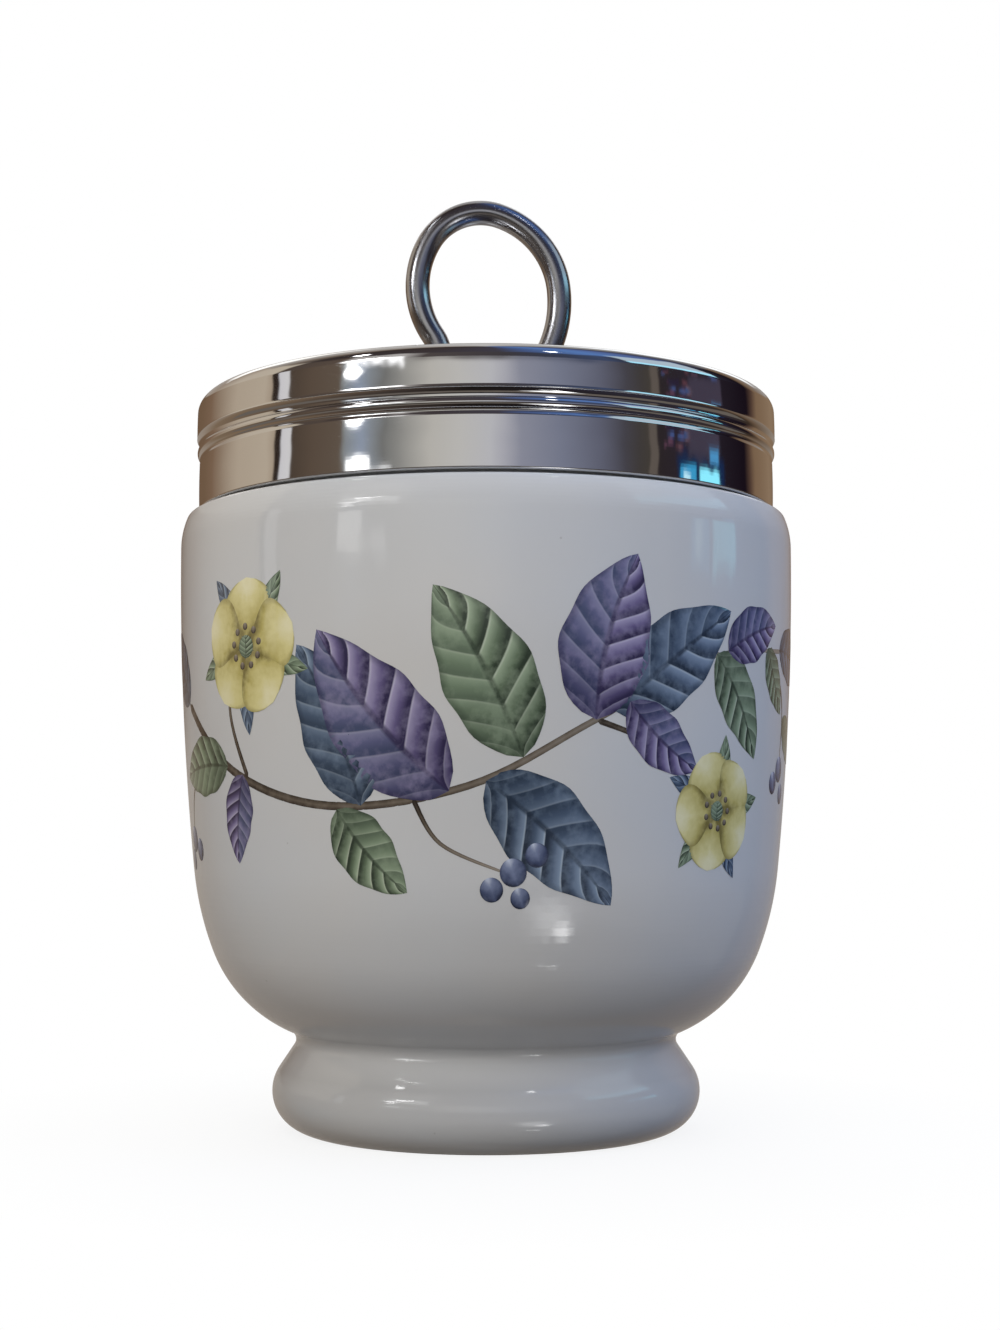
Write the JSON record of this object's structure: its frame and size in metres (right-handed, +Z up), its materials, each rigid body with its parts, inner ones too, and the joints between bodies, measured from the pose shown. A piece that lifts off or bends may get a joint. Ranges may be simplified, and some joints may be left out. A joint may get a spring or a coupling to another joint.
{
  "type": "egg coddler",
  "caption": "Footed porcelain egg coddler with a screw-on domed metal lid and an upright wire lifting ring, for cooking an egg in hot water",
  "frame": {"origin": "centre of the foot's rest plane, on the cup's axis", "axes": "+Z up along the cup's axis; the lifting ring stands in the XZ plane; +Y is the way that the picture looks"},
  "size_m": [0.0742, 0.0742, 0.1137],
  "materials": {
    "glazed_porcelain": "clear gloss glaze over white porcelain, with a printed decoration",
    "plated_lid": "mirror-bright chromium plate",
    "inner_metal": "plain pressed metal",
    "washer_rubber": "matt",
    "ring_wire": "bright plated wire"
  },
  "bodies": {
    "cup_body": {"cup": "glazed_porcelain"},
    "seal": {"sealing_washer": "washer_rubber"},
    "lid": {"lid_cap": "plated_lid", "thread_ring": "inner_metal", "backing_plate": "inner_metal", "lifting_ring": "ring_wire"}
  },
  "joints": [
    {"name": "lid_rise", "type": "slide", "parent": "cup_body", "child": "seal", "axis": [0, 0, 1], "range_m": [0, 0.018]},
    {"name": "lid_turn", "type": "hinge", "parent": "seal", "child": "lid", "pos_m": [0, 0, 0.08], "axis": [0, 0, 1], "range_deg": [0, 1440]}
  ],
  "couplings": [
    {"joint": "lid_rise", "follows": "lid_turn", "m_per_rad": 0.00071619}
  ]
}
